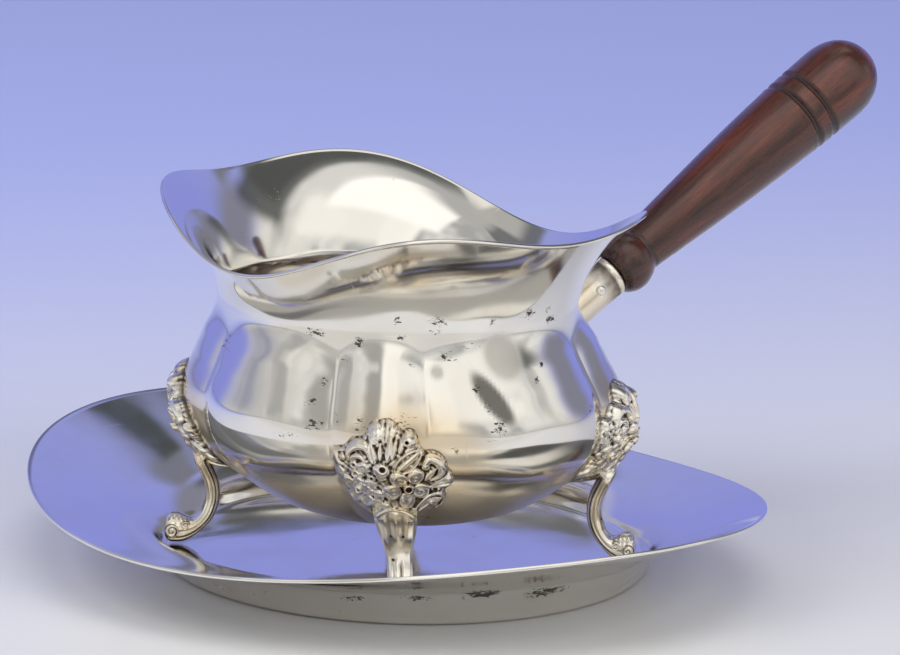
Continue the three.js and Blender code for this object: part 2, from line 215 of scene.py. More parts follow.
def sheetSilver(name, scattered):
    # polished sheet: "wear" holds clusters of dark pits, "stain" warm tarnish, which low on the bowl's belly
    # is also a painted warm reflection, "haze" dull spots
    material, tree, shader, at = newMaterial(name)
    plus, minus, times = arithmetic(tree)
    wear, stained, haze, oxide = [markOf(tree, key) for key in ("wear", "stain", "haze", "oxide")]
    cloud = noiseAt(tree, at, silverLook["cloudScale"], 4.0, 0.6)
    patches = noiseAt(tree, at, silverLook["patchScale"], 3.0, 0.55)
    flat = stretched(tree, at, (1.0, 1.0, 1.9), (0.35, 0.2, 0.0))
    specks = noiseAt(tree, flat, silverLook["pitScale"], 4.0, 0.72)
    fineSpecks = noiseAt(tree, flat, silverLook["finePitScale"], 2.0, 0.6)
    patch = plus(ramp(tree, patches, scattered, scattered + 0.1, 0.0, 0.5),
                 times(wear, ramp(tree, patches, 0.35, 0.6, 0.4, 1.0)), clamp=True)
    pit = ramp(tree, plus(specks, times(patch, 0.25)), 0.68, 0.71)
    pit = times(pit, ramp(tree, patch, 0.05, 0.25))
    finePit = ramp(tree, plus(fineSpecks, times(patch, 0.2)), 0.71, 0.75, 0.0, 0.85)
    pit = math2(tree, "MAXIMUM", pit, times(finePit, ramp(tree, patch, 0.12, 0.4)))
    hair = stretched(tree, at, (60.0, 900.0, 60.0), (0.3, 0.5, 0.8))
    scratch = ramp(tree, noiseAt(tree, hair, 1.0, 2.0), 0.70, 0.76)
    stain = times(stained, ramp(tree, patches, 0.3, 0.7, 0.45, 1.0))
    warmth = plus(ramp(tree, cloud, 0.45, 0.8, 0.0, 0.16), stain, clamp=True)
    colour = mixColour(tree, warmth, silverLook["clean"], silverLook["warm"])
    colour = mixColour(tree, times(haze, 0.9), colour, silverLook["haze"])
    colour = mixColour(tree, oxide, colour, silverLook["oxide"])
    colour = mixColour(tree, times(pit, 0.92), colour, silverLook["dark"])
    low, high = silverLook["roughness"]
    marred = plus(plus(pit, oxide), times(scratch, 0.25))
    rough = plus(ramp(tree, cloud, 0.3, 0.8, low, high), times(marred, 0.4))
    rough = plus(rough, plus(times(stain, 0.10), times(haze, 0.45)))
    waves = noiseAt(tree, at, silverLook["waveScale"], 1.5)
    broad = bumpOf(tree, waves, 1.0, silverLook["waviness"])
    depth = minus(times(pit, -1.0), times(scratch, 0.12))
    fine = bumpOf(tree, depth, 0.5, silverLook["pitDepth"], Normal=broad)
    feed(tree, shader, {"Base Color": colour, "Roughness": rough, "Normal": fine, "Metallic": 1.0})
    return material


def castSilver(name):
    # castings keep dark tarnish in their hollows and are worn bright on top
    material, tree, shader, at = newMaterial(name)
    plus, _, times = arithmetic(tree)
    grime = noiseAt(tree, at, castLook["dirtScale"], 3.0, 0.6)
    dirt = ramp(tree, plus(markOf(tree, "hollow"), times(grime, 0.30)), 0.26, 0.86)
    gilt = ramp(tree, noiseAt(tree, at, castLook["tintScale"], 3.0), 0.38, 0.68)
    clear = mixColour(tree, gilt, castLook["bright"], castLook["warm"])
    colour = mixColour(tree, dirt, clear, castLook["dirt"])
    clean, added = castLook["roughness"]
    rough = plus(times(dirt, added), clean)
    grain = bumpOf(tree, noiseAt(tree, at, castLook["grainScale"], 3.0), 0.4, castLook["grainDepth"])
    feed(tree, shader, {"Base Color": colour, "Roughness": rough, "Normal": grain, "Metallic": 1.0})
    return material


bodySilver = sheetSilver("body silver", silverLook["scattered"][0])
standSilver = sheetSilver("stand silver", silverLook["scattered"][1])
ornamentSilver = castSilver("ornament silver")
print("silver finishes made")


waveCount = 5     # waves that the rims of both vessels may have


def wavyRimTree(count):
    # moves each point out by radius waves and up by height waves, as much as its own weights say
    tree = bpy.data.node_groups.new("wavy rim", "GeometryNodeTree")
    face = tree.interface
    face.new_socket("Geometry", in_out="OUTPUT", socket_type="NodeSocketGeometry")
    face.new_socket("Geometry", in_out="INPUT", socket_type="NodeSocketGeometry")
    for kind in ("Radius", "Height"):
        for n in range(1, count + 1):
            face.new_socket(f"{kind} wave {n}", in_out="INPUT", socket_type="NodeSocketFloat")
    face.new_socket("Lean", in_out="INPUT", socket_type="NodeSocketFloat")
    face.new_socket("Finish", in_out="INPUT", socket_type="NodeSocketMaterial")
    given = tree.nodes.new("NodeGroupInput")
    done = tree.nodes.new("NodeGroupOutput")
    plus, _, times = arithmetic(tree)

    def weight(name):
        return addNode(tree, "GeometryNodeInputNamedAttribute", {"Name": name},
                       data_type="FLOAT").outputs["Attribute"]

    place = addNode(tree, "ShaderNodeSeparateXYZ",
                    {0: tree.nodes.new("GeometryNodeInputPosition").outputs[0]})
    angle = math2(tree, "ARCTAN2", place.outputs[1], place.outputs[0])
    waves = {}
    for kind in ("Radius", "Height"):
        total = None
        for n in range(1, count + 1):
            wave = math2(tree, "COSINE", times(angle, float(n)))
            term = times(wave, given.outputs[f"{kind} wave {n}"])
            total = term if total is None else plus(total, term)
        waves[kind] = times(total, weight(kind.lower() + "Weight"))
    out = times(waves["Radius"], math2(tree, "COSINE", angle))
    lean = times(given.outputs["Lean"], weight("leanWeight"))
    shift = addNode(tree, "ShaderNodeCombineXYZ",
                    {0: plus(out, lean),
                     1: times(waves["Radius"], math2(tree, "SINE", angle)), 2: waves["Height"]})
    moved = addNode(tree, "GeometryNodeSetPosition", {"Geometry": given.outputs["Geometry"],
                                                     "Offset": shift.outputs[0]})
    real = addNode(tree, "GeometryNodeRealizeInstances", {0: moved.outputs[0]})
    dressed = addNode(tree, "GeometryNodeSetMaterial", {"Geometry": real.outputs[0],
                                                       "Material": given.outputs["Finish"]})
    tree.links.new(dressed.outputs[0], done.inputs[0])
    return tree


wavyRim = wavyRimTree(waveCount)


def waved(rows, weights, radiusWaves, heightWaves, lean, finish):
    # rows of points without waves go in, the same rows with waves come out
    shape = rows.shape
    flat = makeMesh("wave blank", rows.reshape(-1, 3), [], finish,
                    {key: np.repeat(values, shape[1]) for key, values in weights.items()})
    bend = flat.modifiers.new("wavy rim", "NODES")
    bend.node_group = wavyRim
    sockets = {s.name: s.identifier for s in wavyRim.interface.items_tree if s.in_out == "INPUT"}
    for n in range(1, waveCount + 1):
        bend[sockets[f"Radius wave {n}"]] = radiusWaves[n] * mm if n < len(radiusWaves) else 0.0
        bend[sockets[f"Height wave {n}"]] = heightWaves[n] * mm if n < len(heightWaves) else 0.0
    bend[sockets["Lean"]] = lean * mm
    bend[sockets["Finish"]] = finish
    bpy.context.view_layer.update()
    result = bpy.data.meshes.new_from_object(flat.evaluated_get(bpy.context.evaluated_depsgraph_get()))
    points = np.zeros(len(result.vertices) * 3, np.float32)
    result.vertices.foreach_get("co", points)
    bpy.data.meshes.remove(result)
    bpy.data.objects.remove(flat)
    return points.reshape(shape).astype(float) / mm


rimRound = {"steps": 6, "reach": 0.22}     # rows round the edge, and how far it stands out in sheets


def vesselShell(outside, sheets, insideRows):
    # gives a sheet its inner wall and a rounded rim
    along = np.gradient(outside, axis=0)
    around = np.roll(outside, -1, axis=1) - np.roll(outside, 1, axis=1)
    normals = np.cross(around, along)
    normals /= np.maximum(np.linalg.norm(normals, axis=2, keepdims=True), 1e-9)
    inside = outside - normals * sheets[:, None, None]
    rimOut, rimIn = outside[-1], inside[-1]
    ahead = outside[-1] - outside[-2]
    ahead /= np.linalg.norm(ahead, axis=1, keepdims=True)
    middle, half = (rimOut + rimIn) / 2, (rimOut - rimIn) / 2
    edge = [middle + half * math.cos(a) + ahead * sheets[-1] * rimRound["reach"] * math.sin(a)
            for a in np.linspace(0, math.pi, rimRound["steps"] + 2)[1:-1]]
    rows = [*outside, *edge, *inside[insideRows][::-1]]
    first = outside[0].mean(axis=0)
    last = inside[insideRows][0].mean(axis=0)
    return closeRings(first, rows, last)


def clusters(turn, height, spots):
    # soft spots on a round wall: turn, height, half width in degrees, half height and strength
    total = np.zeros(np.shape(turn))
    for at, level, wide, tall, strength in spots:
        off = ((turn - at + 180) % 360 - 180) / wide
        total = np.maximum(total, strength * np.exp(-(off**2) - ((height - level) / tall) ** 2))
    return total


stand = {
    "baseRadius": 60.2,
    # from the floor up into the wall: out from the base radius, and height
    "foot": [(-1.2, 0), (0.8, 0), (0.9, 1.6), (1.6, 3.2)],
    "shoulder": (66.0, 11.5),
    "floorSheet": 1.5,
    "rimSheet": 0.9,
    # mean size of the rim, and then its waves once, twice and three times round
    "rimRadius": (90.5, -7.0, -5.1, -1.7),
    "rimHeight": (19.5, -1.4, -4.0, 0.8),
    "bend": (0.66, 0.30),     # how early the wall takes up the waves in radius and in height
    "rows": (22, 11, 58),     # over the floor, the foot and the flare
    "points": 352,
    "wobble": 0.035,
    # spots as clusters() reads them
    "wear": [(214, 7.2, 3.4, 1.1, 1.3), (226, 8.5, 3.4, 1.2, 1.2), (240, 9.5, 4, 1.6, 1.4),
             (254.5, 8, 5, 1.5, 1.6), (239.5, 1.2, 2, 0.6, 1.1), (300, 6, 5, 2, 0.8),
             (20, 8, 6, 2, 0.8), (110, 6, 5, 2, 0.8)],
    "stain": [(254.5, 7, 4, 2, 0.8)],
}


def cubic(p0, p1, p2, p3, u):
    # a curve with two end points and two handles
    u = np.asarray(u)[:, None]
    p0, p1, p2, p3 = (np.array(p, float) for p in (p0, p1, p2, p3))
    return (1 - u) ** 3 * p0 + 3 * (1 - u) ** 2 * u * p1 + 3 * (1 - u) * u**2 * p2 + u**3 * p3


def makeStand():
    base = stand["baseRadius"]
    floorRows, footRows, flareRows = stand["rows"]
    foot = np.array(stand["foot"]) + (base, 0)
    shoulder = np.array(stand["shoulder"])
    rim = np.array([stand["rimRadius"][0], stand["rimHeight"][0]])
    floorPart = np.column_stack([np.linspace(0.04, 1, floorRows) * foot[0, 0], np.zeros(floorRows)])
    wall = cubic(*foot, np.linspace(0, 1, footRows)[1:])
    slope = np.array(stand["foot"][-1]) / math.hypot(*stand["foot"][-1])
    u = np.linspace(0, 1, flareRows)[1:]
    flare = cubic(foot[-1], foot[-1] + slope * 9.5, shoulder + (rim - shoulder) * (0.22, 0.1), rim, u)
    profile = np.vstack([floorPart, wall, flare])
    still = np.zeros(len(floorPart) + len(wall))
    weights = {
        "radiusWeight": np.concatenate([still, stand["bend"][0] * (1 - u) * u**2 + u**3]),
        "heightWeight": np.concatenate([still, stand["bend"][1] * (1 - u) * u**2 + u**3]),
        "leanWeight": np.zeros(len(profile)),
    }
    angles = np.arange(stand["points"]) / stand["points"] * tau
    rows = turnedRows(profile[:, :1], profile[:, 1:], angles)
    rows = waved(rows, weights, stand["rimRadius"], stand["rimHeight"], 0.0, standSilver)
    # the sheet thins from the floor to the rim
    step = np.concatenate([np.linspace(0, 0.4, floorRows), np.linspace(0.4, 0.5, footRows)[1:], 0.5 + u / 2])
    sheets = stand["floorSheet"] + (stand["rimSheet"] - stand["floorSheet"]) * smooth((step - 0.45) / 0.4)
    points, faces = vesselShell(rows, sheets, np.arange(len(rows)))
    # hand-hammered floor: a little uneven on the inside
    x, y, z = points.T
    inner = np.arange(len(points)) > (len(rows) + rimRound["steps"]) * len(angles)
    calm = smooth((base - 4 - np.hypot(x, y)) / 10) * inner
    dents = np.sin(x * 0.16 + 1.1) * np.cos(y * 0.13) + 0.6 * np.sin(y * 0.29 + x * 0.11)
    z += calm * stand["wobble"] * dents
    turn = np.degrees(np.arctan2(y, x))
    wear = clusters(turn, z, stand["wear"]) * ~inner
    stain = np.maximum(0.22 * smooth((9 - z) / 9), clusters(turn, z, stand["stain"])) * ~inner
    haze = 0.30 * smooth((base + 7 - np.hypot(x, y)) / 3) * smooth((z - 1) / 2) * ~inner
    made = makeMesh("standDish", np.column_stack([x, y, z]), faces, standSilver,
                    {"stain": stain, "wear": wear, "haze": haze})
    return dress(made, "stand", "silver", "stand")


makeStand()
print("stand made")


# turn of each leg about the bowl, its sideways lean, how far its toe reaches and where its flower sits,
# which the bowl's stains and all the castings follow
legs = [
    {"name": "rear_left", "turn": 43.0, "lean": 0.14, "toeReach": 0.82, "flowerSide": 3.0},
    {"name": "front_left", "turn": 133.5, "lean": 0.0, "toeReach": 0.96, "flowerSide": 2.4},
    {"name": "front_right", "turn": 221.6, "lean": 0.1, "toeReach": 0.90, "flowerSide": 4.2},
    {"name": "rear_right", "turn": 307.0, "lean": 0.0, "toeReach": 0.84, "flowerSide": 4.2},
]


bowl = {
    "centre": (0.0, 0.8),
    "sheet": 0.9,
    "neck": (44.4, 67.8),
    "lean": -4.0,
    "leanFrom": 16.0,
    # mean size of the rim, and then its waves once, twice and up to five times round
    "rimRadius": (58.3, -3.7, -1.65, -0.75, -1.0, 0.55),
    "rimHeight": (87.2, -2.8, -6.1, -0.25, -3.5, 0.8),
    "rows": (92, 36),     # up to the neck, and in the flare
    "outline": [(0, 10.9), (13, 11.9), (25, 14.7), (37, 20.5), (46.5, 27.9), (51.4, 36.3),
                (52.0, 44.5), (48.5, 53.0), (45.1, 60.8), (44.4, 67.8)],
    # middle, half width and rise of the narrow lobes over the legs
    "lobes": [(44.0, 16.0, 2.2), (137.0, 21.5, 2.0), (218.9, 12.9, 1.9), (312.0, 18.5, 2.8)],
    "wideRise": 2.7,
    "lobeTop": 66.8,
    "wobble": 0.12,
    # spots as clusters() reads them
    "wear": [(223.8, 71.3, 1.3, 1.0, 1.3), (225, 66.8, 2.4, 1.0, 1.1), (197.5, 66.8, 3.4, 1.0, 1.2),
             (212.5, 65.6, 1.7, 1.3, 1.25), (236.5, 71.2, 3.2, 1.2, 1.0), (235.8, 68.2, 1.7, 0.9, 1.2),
             (239, 62.6, 3.4, 1.2, 1.3), (246, 64.4, 3.8, 1.2, 1.2), (254, 69.9, 1.3, 1.0, 1.1),
             (268.5, 71.0, 2.6, 1.7, 0.9), (277, 71.2, 2.6, 1.1, 1.1), (280.5, 68.0, 3.2, 1.0, 1.2),
             (201, 46, 2.6, 1.6, 1.2), (200, 51.2, 2.3, 1.7, 0.95), (202.5, 55.8, 1.5, 1.1, 1.1),
             (194, 42.5, 5, 1.1, 0.9), (207.5, 48, 1.3, 2.6, 0.7), (247, 54.8, 1.7, 1.6, 0.9),
             (248, 51.2, 1.6, 1.6, 0.9), (228.5, 60.5, 1.0, 0.7, 1.6), (266, 55.6, 0.9, 0.7, 1.6),
             (270, 59, 0.9, 0.9, 1.3), (238, 41, 1.4, 0.9, 1.1), (214, 47, 2.6, 2.4, 0.7),
             (224, 46, 5, 5, 0.5), (250, 45, 5, 2, 0.35), (20, 60, 8, 4, 0.8), (80, 50, 7, 5, 0.7),
             (110, 66, 8, 2, 0.8), (160, 58, 5, 5, 0.7), (320, 62, 6, 3, 0.7)],
    "haze": [(257.0, 61.8, 8.8, 7.4, 1.4), (236, 59.0, 2.8, 2.4, 1.3)],
    "oxide": (250.5, 52.6, 3.6, 6.4, 0.16),     # turn, height, half width, half height and slant
    "insideWear": 0.08,
}


def lobeSpans():
    # each narrow lobe with the start and end of the wide lobe after it
    for k, (middle, half, rise) in enumerate(bowl["lobes"]):
        after, afterHalf, _ = bowl["lobes"][(k + 1) % 4]
        yield middle, half, rise, middle + half, after - afterHalf + (360 if k == 3 else 0)


def lobeRise(angle, radius, height):
    # narrow lobes stand over the legs, wide ones between them
    angle, radius, height = np.broadcast_arrays(angle, radius, height)
    turn = np.degrees(angle) % 360
    rise = np.zeros(turn.shape)
    across = np.zeros(turn.shape)
    for middle, half, narrowRise, start, end in lobeSpans():
        away = np.abs((turn - middle + 180) % 360 - 180)
        narrow = away < half
        rise[narrow], across[narrow] = narrowRise, away[narrow] / half
        past = (turn - start) % 360
        wide = past <= end - start
        span = (end - start) / 2
        rise[wide], across[wide] = bowl["wideRise"], np.abs(past[wide] - span) / span
    arch = smooth((bowl["lobeTop"] - 3.2 * across**4 - height) / 9)
    return rise * (1 - across**2) * arch * smooth((radius - 14) / 26)


def leanAt(height):
    # how much of the lean a height has taken up
    return smooth((height - bowl["leanFrom"]) / (bowl["neck"][1] - bowl["leanFrom"]))


wallSteps = throughPoints(bowl["outline"], np.linspace(0.02, 1, 400))


def wallRadius(angle, height):
    # where the castings meet the bowl
    radius = np.interp(height, wallSteps[:, 1], wallSteps[:, 0])
    return radius + lobeRise(angle, radius, height)


def bowlAngles():
    # points lie exactly on the creases
    turns = []
    for middle, half, _, start, end in lobeSpans():
        turns.extend(np.linspace(middle - half, start, 31)[:-1])
        turns.extend(np.linspace(start, end, round((end - start) * 1.1) + 1)[:-1])
    return np.radians(turns)


def makeBowl():
    angles = bowlAngles()
    belowRows, flareRows = bowl["rows"]
    below = throughPoints(bowl["outline"], np.linspace(0.03, 1, belowRows))
    neckR, neckZ = bowl["neck"]
    rimR, rimZ = bowl["rimRadius"][0], bowl["rimHeight"][0]
    u = np.linspace(0, 1, flareRows)[1:]
    away, bend, full = (1 - u) ** 2, (1 - u) * u, u**2
    flare = np.column_stack([neckR * (away + 1.6 * bend) - 0.8 * bend + rimR * (0.4 * bend + full),
                             neckZ * (away + 0.9 * bend) + rimZ * (1.1 * bend + full)])
    profile = np.vstack([below, flare])
    weights = {
        "radiusWeight": np.concatenate([np.zeros(len(below)), 0.4 * bend + full]),
        "heightWeight": np.concatenate([np.zeros(len(below)), 1.1 * bend + full]),
        "leanWeight": np.concatenate([leanAt(below[:, 1]), away + 1.6 * bend]),
    }
    radius, z = profile[:, :1], profile[:, 1:]
    a = angles[None, :]
    lobed = np.vstack([lobeRise(a, below[:, :1], below[:, 1:]), np.zeros((len(flare), len(angles)))])
    # raised by hand, so the wall is never quite even
    uneven = np.sin(5 * a + 0.7) * np.sin(z * 0.21 + 0.5) + 0.7 * np.sin(9 * a + z * 0.17)
    uneven = uneven + 0.5 * np.sin(14 * a - z * 0.12 + 2.0) * np.sin(z * 0.35)
    calm = smooth((radius - 12) / 20) * smooth((rimZ - 6 - z) / 14)
    reach = radius + lobed + bowl["wobble"] * uneven * calm
    rows = waved(turnedRows(reach, z, angles), weights, bowl["rimRadius"], bowl["rimHeight"],
                 bowl["lean"], bodySilver)
    rows[..., 0] += bowl["centre"][0]
    rows[..., 1] += bowl["centre"][1]
    inside = np.r_[0 : len(below) : 2, len(below) : len(rows)]
    points, faces = vesselShell(rows, np.full(len(rows), bowl["sheet"]), inside)
    x, y, z = points.T
    turn = np.degrees(np.arctan2(y - bowl["centre"][1], x - bowl["centre"][0] - bowl["lean"] * leanAt(z)))
    outer = np.arange(len(points)) < len(rows) * len(angles)
    # old polish and heat stain round the castings, under the belly and inside; under the belly the warm tint
    # is partly tarnish and partly a painted warm reflection
    stain = np.zeros(len(points))
    for leg in legs:
        off = (turn - leg["turn"] - 2.5 + 180) % 360 - 180
        far = np.hypot(off * 0.9 / 21, (z - 35) / 19)
        stain = np.maximum(stain, 0.9 * smooth((1.25 - far) / 0.6))
    # painted warm reflection mixed with real tarnish: a banded warm tint low on the belly
    bellyTarnishAndWarmReflection = smooth((37 - z) / 6) * (0.6 + 0.35 * np.sin(np.radians(turn) * 3 + z * 0.4))
    within = 0.35 * smooth((66 - z) / 20) + 0.5 * smooth((50 - z) / 18)
    stain = np.where(outer, np.maximum(stain, bellyTarnishAndWarmReflection), within)
    wear = np.where(outer, clusters(turn, z, bowl["wear"]), bowl["insideWear"])
    # a few spots have gone dull, and so have the bottom and the inside
    dull = np.clip(clusters(turn, z, bowl["haze"]), 0, 1) ** 4 + 0.55 * smooth((33 - z) / 9)
    haze = np.where(outer, dull, 0.4 * smooth((48 - z) / 16))
    at, level, wide, tall, slant = bowl["oxide"]
    off = (turn % 360 - at) / wide
    far = np.hypot(off + slant * (z - level), (z - level) / tall)
    oxide = np.where(outer, smooth((1.2 - far) / 0.5), 0)
    made = makeMesh("bowlBody", points, faces, bodySilver,
                    {"stain": stain, "wear": wear, "haze": haze, "oxide": oxide})
    return dress(made, "pipkin", "silver", "pipkin_body")


makeBowl()
print("bowl made")


legShape = {
    # from the top of the shield down to the toe: out from the bowl's middle, and height
    "line": [(51.0, 26.6), (50.4, 23.8), (48.2, 18.6), (47.7, 13.8), (49.0, 9.6), (51.9, 6.6),
             (55.4, 5.45), (59.9, 5.4)],
    "knee": 26.0,
    "ankle": 49.0,
    "half": (3.05, 2.3),     # half width at the toe, and what the shield adds
    "thick": (1.9, 1.5),     # half thickness of the shank, and what the toe adds
    "ribs": 0.13,
    "lip": 0.16,
    "split": 0.32,
    "beads": (0.20, 1.5),     # height and spacing
    "around": 96,
    "along": 190,
    # round bosses on the toe's sides: middle out and up, radius and how far they stand out
    "volutes": [(57.9, 5.2, 1.9, 0.6), (54.4, 6.6, 1.35, 0.4)],
}


def legPlace(leg, far, side, height):
    # from the leg's own plane to its place under the bowl, with its lean and the reach of its toe
    turn = math.radians(leg["turn"])
    ankle = legShape["ankle"]
    squeeze = smooth((12 - height) / 2) * (far > ankle)
    reach = np.where(far > ankle, ankle + (far - ankle) * (1 + (leg["toeReach"] - 1) * squeeze), far)
    aside = side + leg["lean"] * (legShape["knee"] - height)
    return np.stack([bowl["centre"][0] + reach * math.cos(turn) - aside * math.sin(turn),
                     bowl["centre"][1] + reach * math.sin(turn) + aside * math.cos(turn), height], axis=-1)


def volute(leg, way, boss):
    # a round boss with a rolled line in it, on one side of the toe
    far0, high0, size, proud = boss
    turn, d = np.meshgrid(np.arange(48) / 48 * tau, np.linspace(0.05, 1, 22))
    roll = np.cos(turn * way - d * 1.7 * tau + 1.2)
    rise = proud * (1 - d**4) ** 0.5 + 0.16 * roll * smooth((1 - d) / 0.2) * smooth(d / 0.2)
    side = way * (2.75 + rise)
    rings = legPlace(leg, far0 + size * d * np.cos(turn), side, high0 + size * d * np.sin(turn))
    ends = [legPlace(leg, np.array(far0), np.array(way * w), np.array(high0)) for w in (2.8 + proud, 1.9)]
    points, faces = closeRings(ends[0], rings, ends[1], flip=way > 0)
    edge = 0.8 * smooth((d - 0.86) / 0.1)
    lines = -roll * 0.6 * smooth((1 - d) / 0.2)
    dark = np.concatenate([[0.2], np.clip(np.maximum(edge, lines), 0, 1).ravel(), [0.6]])
    return points, faces, dark


def makeLeg(leg):
    t = np.linspace(0.006, 0.994, legShape["along"])
    line = throughPoints(legShape["line"], t)
    ahead = np.gradient(line, axis=0)
    length = np.cumsum(np.linalg.norm(ahead, axis=1))[:, None]
    ahead /= np.linalg.norm(ahead, axis=1, keepdims=True)
    outward = np.column_stack([-ahead[:, 1], ahead[:, 0]])
    end = np.minimum(1, np.sqrt(np.minimum(t, 1 - t) / 0.058))
    # the knee is a rounded shield, the shank is slim, the toe swells into a scroll
    narrow, shield = legShape["half"]
    half = (narrow + shield * smooth((0.5 - t) / 0.42)) * (0.45 + 0.55 * end)
    full = np.minimum(1, np.sqrt(np.minimum(t / 0.03, (1 - t) / 0.058)))
    shank, swell = legShape["thick"]
    thick = ((shank + swell * smooth((t - 0.66) / 0.24)) * (0.35 + 0.65 * full))[:, None]
    turn = np.arange(legShape["around"]) / legShape["around"] * tau
    c, s = np.cos(turn), np.sin(turn)
    side = half[:, None] * np.sign(c) * np.abs(c) ** 0.88
    across = side / half[:, None]
    t = t[:, None]
    front = smooth(s / 0.35)
    # three soft ribs down the shield, two at the toe, and a plain front between
    ribs = np.cos(across * math.pi * 3)
    arch = t - 0.15 * across**2
    upper = smooth((0.33 - t) / 0.12) * smooth((arch - 0.05) / 0.03) * smooth((0.96 - np.abs(across)) / 0.1)
    lower = smooth((t - 0.43) / 0.12) * smooth((0.97 - t) / 0.03)
    split = hump(across, 0.12, 0.13) + 0.5 * hump(across, -0.5, 0.10)
    lip = hump(np.abs(across), 0.86, 0.10) * smooth((0.6 - t) / 0.1)
    lip = np.maximum(lip, hump(arch, 0.025, 0.018))
    beadHeight, beadStep = legShape["beads"]
    beadRow = hump(np.abs(across), 0.74, 0.17) * smooth((t - 0.7) / 0.05)
    beads = np.cos(length * tau / beadStep) * beadRow
    out = thick * np.sign(s) * np.abs(s) ** 0.8 * (1 + 0.24 * smooth((t - 0.7) / 0.2) * front)
    out = out + front * (legShape["ribs"] * ribs * upper + legShape["lip"] * lip
                         - legShape["split"] * split * lower + beadHeight * beads)
    # the shield's top is an arch
    out = out - 2.6 * front * smooth((0.012 - arch) / 0.04)
    far = line[:, :1] + outward[:, :1] * out
    high = line[:, 1:] + outward[:, 1:] * out
    rings = legPlace(leg, far, side * (1 - 0.035 * np.cos(s * 15) * smooth((t - 0.1) / 0.1)), high)
    head, toe = throughPoints(legShape["line"], np.array([0.0, 1.0]))
    ends = [legPlace(leg, p[0], 0.0, p[1]) for p in (head, toe)]
    points, faces = closeRings(ends[0], rings, ends[1], flip=True)
    # dark ends of the ribs, the split and the beads
    pitEnd = 0.7 * hump(t, 0.265, 0.012) * hump(np.abs(across), 0.33, 0.11)
    pitEnd = pitEnd + np.exp(-(((t - 0.47) / 0.015) ** 2) - (((across + 0.45) / 0.18) ** 2))
    hollow = front * (0.40 * np.clip(-ribs, 0, 1) * upper + 0.6 * split * lower + 0.8 * pitEnd
                      + 0.4 * np.clip(-beads, 0, 1))
    hollow = hollow + 0.5 * np.clip(np.cos(s * 15), 0, 1) ** 2 * (1 - front) * smooth((t - 0.1) / 0.1)
    hollow = hollow + 0.3 * smooth((0.06 - s) / 0.3)
    hollow = np.concatenate([[0.5], np.clip(hollow, 0, 1).ravel(), [0.3]])
    for boss in legShape["volutes"]:
        for way in (-1, 1):
            more, moreFaces, dark = volute(leg, way, boss)
            faces = faces + [tuple(k + len(points) for k in f) for f in moreFaces]
            points, hollow = np.vstack([points, more]), np.concatenate([hollow, dark])
    made = makeMesh("leg_" + leg["name"] + "_cast", points, faces, ornamentSilver, {"hollow": hollow})
    return dress(made, "pipkin", "silver", "leg_" + leg["name"])


for leg in legs:
    makeLeg(leg)
print("legs made")


